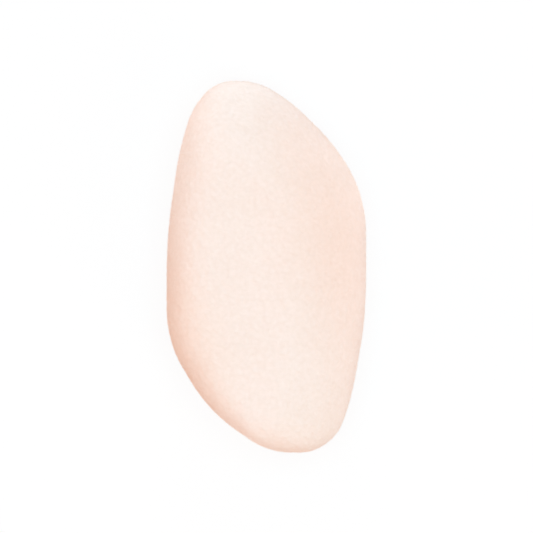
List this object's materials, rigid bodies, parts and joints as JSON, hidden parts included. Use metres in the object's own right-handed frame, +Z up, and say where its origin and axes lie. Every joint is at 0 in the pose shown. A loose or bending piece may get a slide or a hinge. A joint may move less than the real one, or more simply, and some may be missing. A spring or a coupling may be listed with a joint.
{
  "type": "makeup sponge",
  "caption": "Slanted pebble-shaped makeup sponge with a velvety flocked surface, a crowned front for applying make-up and a flat back to rest on; it squeezes and springs back.",
  "frame": {"origin": "Under the middle of the sponge, on the flat back that it rests on", "axes": "+X across the sponge, +Y along it, +Z up through the crowned front"},
  "size_m": [0.035, 0.065, 0.024],
  "materials": {
    "flock": "matte",
    "adhesive": "satin",
    "foam": "matte"
  },
  "bodies": {
    "back": {"back_flock": "flock", "adhesive_coat": "adhesive", "foam_core": "foam"},
    "front": {"front_flock": "flock"}
  },
  "joints": [
    {"name": "squeeze", "type": "slide", "parent": "back", "child": "front", "axis": [0, 0, -1], "range_m": [0, 0.01], "stiffness_N_per_m": 600, "deforming": ["foam_core", "adhesive_coat", "back_flock", "front_flock"]}
  ]
}
